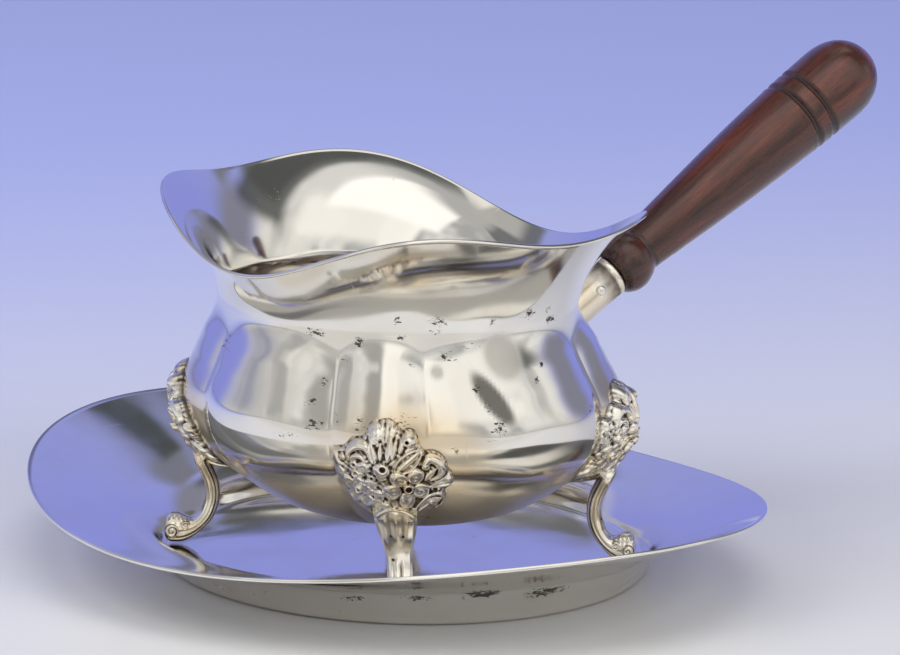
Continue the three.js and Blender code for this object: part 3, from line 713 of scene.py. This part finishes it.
mountShape = {
    "flowerHeight": 32.3,     # of the large flower's middle above the table
    "stretch": (0.95, 1.12),     # of what lies above the flower's middle, and below it
    "plate": 0.5,     # sheet under the relief
    "sunk": 0.35,     # how far the back goes into the bowl's wall
    "turns": 420,
    "rings": 96,
    "cell": 0.09,
    # the relief in millimetres from the middle of the large flower; petals: middle
    "petals": [(-2.4, 2.7), (1.9, 3.3), (3.3, -1.0), (-0.4, -3.3), (-4.3, -0.9)],
    # rings: middle, radius, half width and rise
    "rolledRings": [(0, 0, 0.95, 0.46, 2.7), (-13.0, -1.3, 0.72, 0.34, 1.9), (-13.0, 3.4, 0.85, 0.4, 1.7)],
    # a small flower of cupped petals, and berries: middle and radius
    "smallFlower": (-13, -1.3),
    "smallPetals": [(-14.4, -3.1, 1.8), (-15.4, 0.3, 1.8), (-12.5, 1.1, 1.4), (-11.1, -3.9, 1.9),
                    (-10.7, -0.9, 1.5)],
    "berries": [(-9.5, 0.7, 1.45), (-7.6, -2.2, 1.35), (-9.4, -1.4, 1.0), (-10.9, 5.3, 1.5),
                (-6.6, 3.1, 1.1), (-8.2, -4.3, 1.5), (-5.9, -5.0, 1.2), (-11.6, 3.3, 0.8), (-7.9, 12.9, 1.3)],
    # buds: middle, radius, rise, then the size of a hole and how far it is off the middle
    "buds": [(-9.0, 2.5, 1.15, 1.4, 0.5), (-13.3, 5.7, 1.1, 1.3, 0.5), (-6.4, 5.0, 2.15, 1.9, 0.65, 0.4, 0.5),
             (-7.3, 14.5, 2.2, 1.45), (0.8, 12.8, 2.0, 1.9, 0.4, -0.7, -0.4), (4.5, 5.9, 1.3, 1.9),
             (10.3, 1.9, 1.4, 1.5), (6.3, -5.0, 1.0, 1.2), (-16.2, 7.4, 0.9, 1.0)],
    # leaves: root, tip, half width, rise, and for some their lip and vein
    "leaves": [(-8.0, 6.6, -8.9, 12.2, 1.25, 1.6), (-6.5, 7.6, -6.3, 12.0, 0.65, 1.1, 0, 0),
               (-4.9, 7.2, -3.5, 14.2, 0.9, 1.5, 0, 0), (-3.7, 7.8, -2.3, 13.4, 0.65, 1.25, 0, 0),
               (-1.9, 9.4, -0.7, 13.0, 0.7, 1.0, 0, 0), (-0.6, 9.8, 2.9, 11.6, 0.8, 0.9, 0, 0),
               (-3.0, 4.5, 3.8, 10.2, 2.4, 1.8, 0.85, 0.15), (4.2, 1.6, 7.4, 5.2, 0.9, 0.8, 0, 0),
               (2.7, -7.0, 9.2, -3.4, 1.7, 1.0, 0.5, 0.3), (-17.9, 5.0, -16.2, 1.4, 1.0, 0.9),
               (-15.2, -4.4, -10.6, -6.8, 1.2, 0.8), (-10.0, -6.0, -4.6, -8.0, 1.3, 0.7),
               (-3.0, -5.4, 1.6, -8.2, 1.4, 0.7)],
    # ribs of the shell at the top and of the fan at the right: where each one goes
    "shellRibs": [(-5.6, -5.7, 16.9), (-4.9, -4.3, 17.0), (-4.3, -3.0, 16.5), (-3.7, -2.0, 15.6)],
    "fanRibs": [(10.4, 3.2), (11.3, 1.6), (11.0, 0.2)],
    # scrolls: points, half widths on the way and rise
    "scrolls": [
        ([(-12.9, 2.8), (-12.1, 1.7), (-11.6, 0.6)], [0.6, 0.5, 0.4], 1.3),
        ([(-14.8, 6.9), (-14.3, 9.3), (-12.3, 11.1), (-10.1, 10.9), (-9.2, 9.3)],
         [0.4, 0.9, 1.4, 1.2, 0.6], 1.5),
        ([(-14.1, 6.8), (-13.0, 8.1), (-11.4, 8.2), (-10.3, 7.0)], [0.3, 0.7, 0.8, 0.5], 1.35),
        ([(4.2, 6.2), (5.6, 7.6), (7.6, 6.9), (8.6, 4.9), (7.9, 2.9), (5.8, 1.6)],
         [0.9, 1.3, 1.4, 1.2, 0.8, 0.35], 1.8),
        ([(1.4, -8.6), (1.9, -5.9), (4.6, -3.3), (7.6, -2.1), (9.5, -3.0), (9.7, -5.1), (8.1, -6.6)],
         [0.35, 0.5, 0.6, 0.6, 0.6, 0.55, 0.4], 1.6),
        ([(-16.3, 9.2), (-17.8, 8.9), (-18.2, 7.2), (-17.4, 5.7), (-16.4, 5.4)],
         [0.4, 0.7, 0.9, 0.7, 0.5], 1.2),
        ([(-19.4, 5.6), (-18.8, 3.6), (-17.4, 1.8)], [0.3, 0.45, 0.3], 0.9),
        ([(-16.6, -1.8), (-15.8, -4.8), (-13.4, -6.6), (-10.2, -8.0)], [0.35, 0.5, 0.5, 0.35], 1.0),
    ],
}

# a sheet of heights in millimetres, its origin at the middle of the large flower
sheetX, sheetY = np.meshgrid(np.arange(-22.5, 15, mountShape["cell"]), np.arange(-15, 20, mountShape["cell"]))


def petal(cx, cy, long, wide, rise, cup):
    # a petal that points away from the flower's middle, cupped towards it
    turn = math.atan2(cy, cx)
    dx, dy = sheetX - cx, sheetY - cy
    along = (dx * math.cos(turn) + dy * math.sin(turn)) / long
    across = (dy * math.cos(turn) - dx * math.sin(turn)) / wide
    d, inner = np.hypot(along, across), np.hypot(along + 0.22, across)
    return rise * np.clip(1 - d**2, 0, 1) ** 0.5 - rise * cup * hump(inner, 0, 0.52)


def bud(cx, cy, r, rise, hole=0.0, dx=0.0, dy=0.0):
    # half a ball, with or without a hole in it
    height = rise * np.sqrt(np.clip(1 - ((sheetX - cx) ** 2 + (sheetY - cy) ** 2) / r**2, 0, 1))
    if hole > 0:
        d = np.hypot(sheetX - cx - dx, sheetY - cy - dy)
        height = height - rise * np.exp(-((d / hole) ** 4)) * (height > 0)
    return height


def ring(cx, cy, r, wide, rise):
    # a small rolled ring with a bead in it
    d = np.hypot(sheetX - cx, sheetY - cy)
    return rise * hump(d, r, wide) + 0.6 * rise * hump(d, 0, wide * 0.7)


def stroke(points, widths, rise):
    # a rounded rib along a smooth line, with its half width given along the way
    t = np.linspace(0, 1, 9 * len(points))
    line = throughPoints(points, t)
    half = throughPoints(np.array(widths)[:, None], t)[:, 0]
    height = np.zeros(sheetX.shape)
    for (x, y), w in zip(line, half):
        dome = np.sqrt(np.clip(1 - ((sheetX - x) ** 2 + (sheetY - y) ** 2) / w**2, 0, 1))
        height = np.maximum(height, rise * min(1.0, 0.55 + 0.5 * w) * dome)
    return height


def leaf(x0, y0, x1, y1, width, rise, lip=0.0, vein=-0.45):
    # pointed leaf: with a lip it is hollow inside, its vein is a groove or a rib
    length = math.hypot(x1 - x0, y1 - y0)
    ux, uy = (x1 - x0) / length, (y1 - y0) / length
    along = ((sheetX - x0) * ux + (sheetY - y0) * uy) / length
    off = (sheetY - y0) * ux - (sheetX - x0) * uy
    half = width * np.sin(np.clip(along, 0, 1) ** 0.8 * math.pi) ** 0.75 + 1e-4
    n = np.abs(off) / half
    body = rise * np.clip(1 - n**2, 0, 1) ** 0.4
    body = body - lip * rise * smooth((0.85 - n) / 0.3) + vein * rise * hump(off, 0, width * 0.17)
    return np.where((along > 0) & (along < 1) & (n < 1), np.maximum(body, 0.05), 0)


def reliefParts():
    for cx, cy in mountShape["petals"]:
        yield petal(cx * 0.97, cy * 0.97, 2.55, 2.2, 2.1, 0.42)
    mx, my = mountShape["smallFlower"]
    for cx, cy, r in mountShape["smallPetals"]:
        turn = math.atan2(cy - my, cx - mx)
        hollow = bud(cx - 0.3 * math.cos(turn), cy - 0.3 * math.sin(turn), r * 0.72, 1.0)
        yield bud(cx, cy, r * 1.15, 1.6) - 0.9 * hollow
    for cx, cy, r in mountShape["berries"]:
        yield bud(cx, cy, r * 1.1, 1.4) - 0.45 * bud(cx + 0.2, cy - 0.2, r * 0.6, 1.0)
    for x0, x1, top in mountShape["shellRibs"]:
        yield stroke([(x0, 12.4), ((x0 + x1) / 2, 14.8), (x1, top)], [0.3, 0.45, 0.45], 1.2)
    for x1, y1 in mountShape["fanRibs"]:
        yield stroke([(5.4, -0.5), (8.4, (y1 - 0.5) * 0.6), (x1, y1)], [0.3, 0.5, 0.55], 1.2)
    for form, key in ((ring, "rolledRings"), (bud, "buds"), (leaf, "leaves"), (stroke, "scrolls")):
        for spec in mountShape[key]:
            yield form(*spec)


def blurred(field, size):
    # size is in cells
    reach = int(size * 3)
    weights = np.exp(-((np.arange(-reach, reach + 1) / size) ** 2) / 2)
    weights /= weights.sum()
    for axis in (0, 1):
        field = sum(w * np.roll(field, k, axis) for w, k in zip(weights, range(-reach, reach + 1)))
    return field


# small leaf veins fill what the larger forms leave bare
relief = np.max(list(reliefParts()), axis=0)
covered = blurred((relief > 0.1).astype(float), 12) > 0.28
bare = smooth((np.hypot(sheetX, sheetY) - 5) / 2)
veinsX = np.sin(sheetX * 3.1 + 1.7 * np.sin(sheetY * 1.3))
veinsY = np.sin(sheetY * 2.7 + 1.4 * np.sin(sheetX * 1.1))
filler = 0.22 + 0.22 * bare * veinsX * veinsY
relief = np.where(covered, np.maximum(relief, filler), relief)
relief = blurred(relief, 0.9)
# how deep each place lies below what is round it
sunken = np.clip(1.35 * (blurred(relief, 6.0) - relief) + 0.04, 0, 1) + 0.30 * smooth((0.45 - relief) / 0.4)


def onSheet(field, x, y):
    # reads a value between the cells of the sheet
    u = np.clip((x - sheetX[0, 0]) / mountShape["cell"], 0, field.shape[1] - 1.001)
    v = np.clip((y - sheetY[0, 0]) / mountShape["cell"], 0, field.shape[0] - 1.001)
    i, j = u.astype(int), v.astype(int)
    a, b = u - i, v - j
    return ((field[j, i] * (1 - a) + field[j, i + 1] * a) * (1 - b)
            + (field[j + 1, i] * (1 - a) + field[j + 1, i + 1] * a) * b)


def mountOutline():
    # how far the relief reaches in each direction, a little smoothed
    turns = np.arange(mountShape["turns"]) / mountShape["turns"] * tau
    far = np.linspace(0.5, 22, 300)
    solid = onSheet(relief, np.outer(np.cos(turns), far), np.outer(np.sin(turns), far)) > 0.14
    reach = np.where(solid, far[None, :], 0).max(axis=1) + 0.25
    for _ in range(3):
        reach = (np.roll(reach, 1) + np.roll(reach, -1) + reach * 2) / 4
    return turns, np.maximum(reach, 5.4)


mountTurns, mountReach = mountOutline()


def makeMount(leg):
    rings = np.linspace(0.0, 1, mountShape["rings"] + 1)[1:]
    x = np.outer(rings, mountReach * np.cos(mountTurns))
    y = np.outer(rings, mountReach * np.sin(mountTurns))
    high = onSheet(relief, x, y)
    edge = np.sqrt(np.clip(1 - rings**14, 0, 1))[:, None]

    def place(side, up, rise, offset):
        # lays the sheet over the bowl's wall, and over the top of the leg
        height = mountShape["flowerHeight"] + up * np.where(up > 0, *mountShape["stretch"])
        off = leg["flowerSide"] + side
        angle = math.radians(leg["turn"]) + off / 57
        over = 2.0 * smooth((50 - height) / 15) + 0.4 * np.clip(30 - height, 0, None)
        bulge = over * hump(off, 0, 8)
        radius = wallRadius(angle, height) + offset + rise + bulge * offset
        return np.stack([bowl["centre"][0] + bowl["lean"] * leanAt(height) + radius * np.cos(angle),
                         bowl["centre"][1] + radius * np.sin(angle), height], axis=-1)

    front = place(x, y, (mountShape["plate"] + high) * edge - 0.4 * (1 - edge), edge)
    back = place(x, y, -mountShape["sunk"], 0.0)[[-1, -30]]
    middle = np.array(0.0)
    first = place(middle, middle, mountShape["plate"] + onSheet(relief, middle, middle), 1.0)
    last = place(middle, middle, -mountShape["sunk"], 0.0)
    points, faces = closeRings(first, np.concatenate([front, back]), last)
    hollow = np.concatenate([[0.6], onSheet(sunken, x, y).ravel(), np.ones(2 * len(mountTurns)), [1.0]])
    made = makeMesh("mount_" + leg["name"] + "_floral", points, faces, ornamentSilver, {"hollow": hollow})
    return dress(made, "pipkin", "silver", "mount_" + leg["name"])


for leg in legs:
    makeMount(leg)
print("floral mounts made")


# stations run along the handle's axis from the socket's mouth, and profiles hold radius and station
handle = {
    "turn": -13.2,
    "rise": 32.8,
    "axisHeight": 27.5,     # where the axis would cross the bowl's own axis
    "socketEnd": 71.7,     # from there to the socket's mouth
    "socket": [(0, -21.0), (6.1, -21.0), (5.98, -18.5), (5.85, -16), (5.72, -8), (5.62, -2.2), (5.66, -1.9),
               (5.78, -1.5), (5.80, -0.9), (5.66, -0.35), (5.5, -0.05), (5.2, 0.0), (4.3, 0.0), (4.1, -0.4),
               (4.1, -12.4), (0, -12.4)],
    "tenon": [(0, -12), (3.4, -12), (3.8, -11.4), (3.8, 0.3), (5.7, 0.3), (5.9, 0.42)],
    "collar": 7.95,
    "collarLength": 9.6,
    "step": [(6.15, 10.2), (6.1, 10.6), (6.35, 10.95)],
    "gripFrom": 11.4,
    "grip": (6.4, 10.4),     # radius at its start and at its fullest
    "grooves": (66.2, 71.4),
    "grooveDepth": 1.05,
    "roundFrom": (80, 86),     # where the end starts to close, and where its rows crowd together
    "woodEnd": 93.2,
    "pinStation": -7.0,
    "pinTurn": 14.0,
    "pinHalf": 5.75,
    "pinHead": [(0.8, 0), (1.25, 0), (1.27, 0.2), (1.15, 0.42), (0.8, 0.6), (0.35, 0.69), (0, 0.7)],
}
riseAngle, turnAngle = math.radians(handle["rise"]), math.radians(handle["turn"])
# the frame at the socket's mouth, its z along the handle
handleFrame = Matrix.Translation((
    bowl["centre"][0] + handle["socketEnd"] * math.cos(riseAngle) * math.cos(turnAngle),
    bowl["centre"][1] + handle["socketEnd"] * math.cos(riseAngle) * math.sin(turnAngle),
    handle["axisHeight"] + handle["socketEnd"] * math.sin(riseAngle),
)) @ Matrix.Rotation(turnAngle, 4, "Z") @ Matrix.Rotation(math.pi / 2 - riseAngle, 4, "Y")


def swing(points):
    # from the handle's own axis to its place
    turned = np.asarray(points) @ np.array(handleFrame.to_3x3()).T
    return turned + np.array(handleFrame.translation)


def lathe(profile, count):
    # turns a line of radius and station round the axis
    profile = np.asarray(profile, float)
    rings = turnedRows(profile[1:-1, :1], profile[1:-1, 1:], np.arange(count) / count * tau)
    return closeRings((0, 0, profile[0, 1]), rings, (0, 0, profile[-1, 1]))


woodLook = {
    "dark": (0.016, 0.005, 0.004, 1),
    "light": (0.078, 0.016, 0.009, 1),
    "warm": (0.125, 0.028, 0.014, 1),
    "pore": (0.012, 0.005, 0.004, 1),
    "groove": (0.010, 0.006, 0.005, 1),
    "roughness": (0.22, 0.36),
    "polish": (0.5, 0.16),     # weight and roughness
    "grainScale": 190.0,
    "fineScale": 900.0,
    "poreScale": 1500.0,
    "drawn": (0.11, 0.07),     # how long grain and pores are drawn out along the axis
    "grainDepth": 0.00012,     # metres
}


def rosewood():
    material, tree, shader, at = newMaterial("polished red wood")
    plus, minus, times = arithmetic(tree)
    frameOf = handleFrame.copy()
    frameOf.translation *= mm
    lie = {"Vector": at, "Location": frameOf.translation, "Rotation": frameOf.to_euler()}
    axis = addNode(tree, "ShaderNodeMapping", lie, vector_type="TEXTURE").outputs[0]
    grainDrawn, poreDrawn = [stretched(tree, axis, (1.0, 1.0, k)) for k in woodLook["drawn"]]
    broad = noiseAt(tree, grainDrawn, woodLook["grainScale"], 5.0, 0.62)
    fine = noiseAt(tree, grainDrawn, woodLook["fineScale"], 4.0, 0.65)
    cells = addNode(tree, "ShaderNodeTexVoronoi", {"Vector": poreDrawn, "Scale": woodLook["poreScale"]})
    pore = ramp(tree, cells.outputs["Distance"], 0.05, 0.16, 1.0, 0.0)
    streak = plus(times(broad, 0.7), times(fine, 0.3))
    colour = mixColour(tree, ramp(tree, streak, 0.36, 0.66), woodLook["dark"], woodLook["light"])
    colour = mixColour(tree, ramp(tree, broad, 0.56, 0.72), colour, woodLook["warm"])
    colour = mixColour(tree, times(pore, 0.55), colour, woodLook["pore"])
    colour = mixColour(tree, markOf(tree, "groove"), colour, woodLook["groove"])
    rough = ramp(tree, fine, 0.3, 0.8, *woodLook["roughness"])
    grain = bumpOf(tree, minus(fine, times(pore, 0.6)), 0.35, woodLook["grainDepth"])
    coat, coatRough = woodLook["polish"]
    feed(tree, shader, {"Base Color": colour, "Roughness": rough, "Normal": grain,
                        "Coat Weight": coat, "Coat Roughness": coatRough})
    return material


def gripRadius(station):
    thin, thick = handle["grip"]
    k = np.clip((station - 11.5) / (handle["grooves"][1] - 11.5), 0, 1.12)
    swell = thin + (thick - thin) * np.sin(k * 1.25) / math.sin(1.25)
    close = handle["roundFrom"][0]
    tip = np.clip((station - close) / (handle["woodEnd"] - close), 0, 1)
    return 0.988 * swell * np.sqrt(np.clip(1 - tip**2.4, 0, 1))


def makeWood():
    profile = list(handle["tenon"])
    root, start = profile[-1][0], profile[-2][1]
    for k in np.linspace(0, 1, 26)[1:]:
        lean = k**0.9
        bulge = (handle["collar"] - root) * math.sin(lean * math.pi) ** 0.75
        profile.append((root + bulge + 0.2 * lean, start + handle["collarLength"] * k))
    profile += handle["step"]
    crowd = handle["roundFrom"][1]
    cap = crowd + (handle["woodEnd"] - crowd) * np.sin(np.linspace(0, math.pi / 2, 24))
    stations = np.concatenate([np.linspace(handle["gripFrom"], crowd, 190), cap[1:]])
    depth = sum(np.exp(-(((stations - g) / 0.62) ** 4)) for g in handle["grooves"])
    lip = sum(hump(np.abs(stations - g), 1.35, 0.4) for g in handle["grooves"])
    radius = gripRadius(stations) - handle["grooveDepth"] * depth + 0.10 * lip
    profile += list(zip(radius, stations))
    profile[-1] = (0, handle["woodEnd"])
    points, faces = lathe(profile, 84)
    near = np.abs(points[:, 2:3] - np.array(handle["grooves"])).min(axis=1)
    groove = 0.85 * hump(near, 0, 0.85)
    groove = np.maximum(groove, 0.8 * hump(points[:, 2], 10.5, 0.5))
    made = makeMesh("turnedGrip", swing(points), faces, rosewood(), {"groove": groove})
    return dress(made, "pipkin", "wood", "wood_handle")


def makeSocket():
    points, faces = lathe(handle["socket"], 64)
    # tarnish in the line under the mouth's roll
    hollow = 0.12 + 0.5 * hump(points[:, 2], -2.1, 0.3)
    made = makeMesh("socketTube", swing(points), faces, ornamentSilver, {"hollow": hollow})
    return dress(made, "pipkin", "silver", "handle_socket")


def makePin():
    half = handle["pinHalf"]
    profile = [(0, -half), (0.8, -half)] + [(r, half + h) for r, h in handle["pinHead"]]
    points, faces = lathe(profile, 40)
    # the pin lies across the axis
    lie = (Matrix.Translation((0, 0, handle["pinStation"]))
           @ Matrix.Rotation(-math.radians(handle["pinTurn"]), 4, "Z") @ Matrix.Rotation(math.pi / 2, 4, "X"))
    points = points @ np.array(lie.to_3x3()).T + np.array(lie.translation)
    made = makeMesh("pinRivet", swing(points), faces, ornamentSilver, {"hollow": np.full(len(points), 0.15)})
    return dress(made, "pipkin", "silver", "handle_pin")


makeWood()
makeSocket()
makePin()
print("handle made")


studio = {
    # the table under the object, in front of it with painted shade, far in front of it with painted light,
    # and behind it
    "floor": (0.565, 0.57, 0.58, 1),
    "shadedNearFloor": (0.49, 0.48, 0.455, 1),
    "litFarFloor": (0.68, 0.675, 0.655, 1),
    "behind": (0.36, 0.41, 0.755, 1),
    "floorReach": 9.0,
    # the camera's place and lens, in degrees, metres and millimetres
    "azimuth": -46.0,
    "elevation": 15.9,
    "distance": 1.213,
    "lens": 194.0,
    "aim": (0.00973, 0.0574),
    "roll": 1.73,
    # name, turn from the camera to its right, rise, distance, width and height, power and colour
    "lamps": [
        ("window left", -62, 38, 1.5, (0.9, 1.1), 14, (1.0, 0.985, 0.96)),
        ("window right", 55, 30, 1.5, (0.7, 1.0), 10, (1.0, 0.98, 0.95)),
        ("top light", 10, 78, 1.6, (1.2, 1.0), 9, (1.0, 0.99, 0.98)),
    ],
    "paperLow": (0.31, 0.34, 0.87, 1),
    "paperHigh": (0.38, 0.42, 0.88, 1),
    "roomDark": (0.50, 0.50, 0.49, 1),
    "roomLight": (0.97, 0.955, 0.91, 1),
    # light and dark surfaces round the room: middle turn and half width, lowest and highest rise in degrees,
    # softness of the edges, colour and how dense they look
    "surfaces": [
        (0, 180, 77, 95, 5, (0.55, 0.545, 0.53, 1), 1.0),
        (180, 84, 43, 79, 4, (0.18, 0.185, 0.19, 1), 0.95),
        (178, 36, 59, 90, 6, (0.57, 0.56, 0.53, 1), 0.9),
        (149, 12, 28, 41, 3, (0.20, 0.205, 0.20, 1), 0.85),
        (160.5, 3, 34, 39.5, 1, (0.05, 0.06, 0.045, 1), 0.85),
        (178, 6, 23, 34, 2, (0.07, 0.075, 0.06, 1), 0.7),
        (162, 16, 43, 57, 3, (0.12, 0.125, 0.11, 1), 0.85),
        (175.5, 8.5, 32, 45, 2.5, (0.10, 0.105, 0.09, 1), 0.9),
        (-97, 14, 0, 60, 9, (0.36, 0.37, 0.50, 1), 0.75),
        (-78, 9, 0, 60, 6, (0.55, 0.55, 0.55, 1), 0.6),
        (-36, 9, 0, 14, 6, (0.50, 0.49, 0.46, 1), 0.6),
        (-19, 8, 0, 35, 4, (0.46, 0.45, 0.42, 1), 0.8),
        (4, 12, 2, 52, 3, (1.32, 1.28, 1.18, 1), 0.95),
        (36, 38, 24, 56, 6, (1.20, 1.16, 1.08, 1), 0.9),
        (18, 40, 50, 79, 4, (1.40, 1.37, 1.30, 1), 0.95),
        (125, 14, 0, 34, 8, (0.26, 0.26, 0.27, 1), 0.85),
        (108, 21, 30, 80, 5, (0.095, 0.10, 0.095, 1), 0.92),
        (144, 18, 57, 82, 5, (1.10, 1.07, 1.0, 1), 0.9),
        (0, 118, -95, 4, 9, (0.66, 0.655, 0.64, 1), 0.95),
    ],
    "worldStrength": 0.85,
}
azimuth, elevation = math.radians(studio["azimuth"]), math.radians(studio["elevation"])


def wayOut(turn, rise):
    # a direction of length one
    return Vector((math.sin(turn) * math.cos(rise), -math.cos(turn) * math.cos(rise), math.sin(rise)))


# from the object to the camera, to the picture's right and top, and level into the picture
back = wayOut(azimuth, elevation)
right = Vector((math.cos(azimuth), math.sin(azimuth), 0))
up = back.cross(right)
ahead = Vector((-math.sin(azimuth), math.cos(azimuth), 0))


def along(tree, at, way):
    return addNode(tree, "ShaderNodeVectorMath", {0: at, 1: way}, operation="DOT_PRODUCT").outputs["Value"]


def makeFloor():
    mesh = bpy.data.meshes.new("studioFloor")
    reach = studio["floorReach"]
    ring = [(reach * math.cos(k / 64 * tau), reach * math.sin(k / 64 * tau), 0) for k in range(64)]
    mesh.from_pydata(ring, [], [list(range(64))])
    floor = bpy.data.objects.new("studioFloor", mesh)
    bpy.context.scene.collection.objects.link(floor)
    material, tree, shader, at = newMaterial("table paper")
    depth, side = along(tree, at, ahead), along(tree, at, right)
    # the paper behind starts on a slanting line
    slant = math2(tree, "SUBTRACT", depth, math2(tree, "MULTIPLY", side, 0.35))
    colour = mixColour(tree, ramp(tree, slant, -0.12, 0.62), studio["floor"], studio["behind"])
    # in front of the object the floor is painted darker, as shade, and farther towards the camera painted
    # lighter, as a pool of light
    near = mixColour(tree, ramp(tree, depth, -1.8, -0.5, 1.0, 0.0), studio["shadedNearFloor"], studio["litFarFloor"])
    colour = mixColour(tree, ramp(tree, depth, -0.24, -0.10, 1.0, 0.0), colour, near)
    feed(tree, shader, {"Base Color": colour, "Roughness": 0.38})
    mesh.materials.append(material)


def makeWorld():
    # a blue paper sweep behind, a pale room with soft windows in front
    world = bpy.data.worlds.new("studio")
    bpy.context.scene.world = world
    world.use_nodes = True
    tree = world.node_tree
    plus, minus, times = arithmetic(tree)
    at = addNode(tree, "ShaderNodeTexCoord").outputs["Generated"]
    away = along(tree, at, ahead)
    high = addNode(tree, "ShaderNodeSeparateXYZ", {0: at}).outputs[2]
    sky = mixColour(tree, ramp(tree, high, 0.0, 0.75), studio["paperLow"], studio["paperHigh"])
    folds = stretched(tree, at, (1.0, 1.0, 0.22))
    bands = noiseAt(tree, folds, 3.1, 1.0, 0.5)
    thinBands = noiseAt(tree, folds, 7.0, 0.0, 0.5)
    line = math2(tree, "ABSOLUTE", minus(noiseAt(tree, folds, 3.7, 0.0), 0.52))
    light = plus(ramp(tree, bands, 0.42, 0.56, 0.0, 0.8), ramp(tree, thinBands, 0.45, 0.62, 0.0, 0.2))
    light = times(light, ramp(tree, line, 0.008, 0.05, 0.8, 1.0))
    room = mixColour(tree, light, studio["roomDark"], studio["roomLight"])
    colour = mixColour(tree, ramp(tree, away, 0.14, 0.52), room, sky)
    # turn is counted from the camera to its right, rise from the table
    side = along(tree, at, right)
    turn = math2(tree, "DEGREES", math2(tree, "ARCTAN2", side, times(away, -1.0)))
    rise = math2(tree, "DEGREES", math2(tree, "ARCSINE", high))
    for middle, half, low, top, soft, tone, dense in studio["surfaces"]:
        off = math2(tree, "PINGPONG", minus(turn, float(middle)), 180.0)
        part = ramp(tree, off, half - soft, half + soft, dense, 0.0) if half < 180 else dense
        part = times(part, ramp(tree, rise, low - soft, low + soft))
        part = times(part, ramp(tree, rise, top - soft, top + soft, 1.0, 0.0))
        colour = mixColour(tree, part, colour, tone)
    feed(tree, tree.nodes["Background"], {"Color": colour, "Strength": studio["worldStrength"]})


def softBox(name, turn, rise, far, size, power, colour):
    way = wayOut(azimuth + math.radians(turn), math.radians(rise))
    lamp = bpy.data.lights.new(name, "AREA")
    lamp.shape = "RECTANGLE"
    lamp.size, lamp.size_y = size
    lamp.energy = power
    lamp.color = colour
    made = bpy.data.objects.new(name, lamp)
    made.location = way * far + Vector((0, 0, 0.05))
    made.rotation_euler = way.to_track_quat("Z", "Y").to_euler()
    made.visible_camera = False
    made.visible_glossy = False
    bpy.context.scene.collection.objects.link(made)


def makeCamera():
    camera = bpy.data.cameras.new("camera")
    camera.lens = studio["lens"]
    camera.sensor_width = 36.0
    camera.clip_start, camera.clip_end = 0.05, 30
    made = bpy.data.objects.new("camera", camera)
    made.location = back * studio["distance"]
    target = right * studio["aim"][0] + up * studio["aim"][1]
    look = (target - made.location).to_track_quat("-Z", "Y")
    made.rotation_mode = "QUATERNION"
    made.rotation_quaternion = look @ Euler((0, 0, math.radians(studio["roll"]))).to_quaternion()
    bpy.context.scene.collection.objects.link(made)
    bpy.context.scene.camera = made


makeFloor()
makeWorld()
for lamp in studio["lamps"]:
    softBox(*lamp)
makeCamera()
bpy.context.scene.view_settings.view_transform = "Standard"
print("studio made")
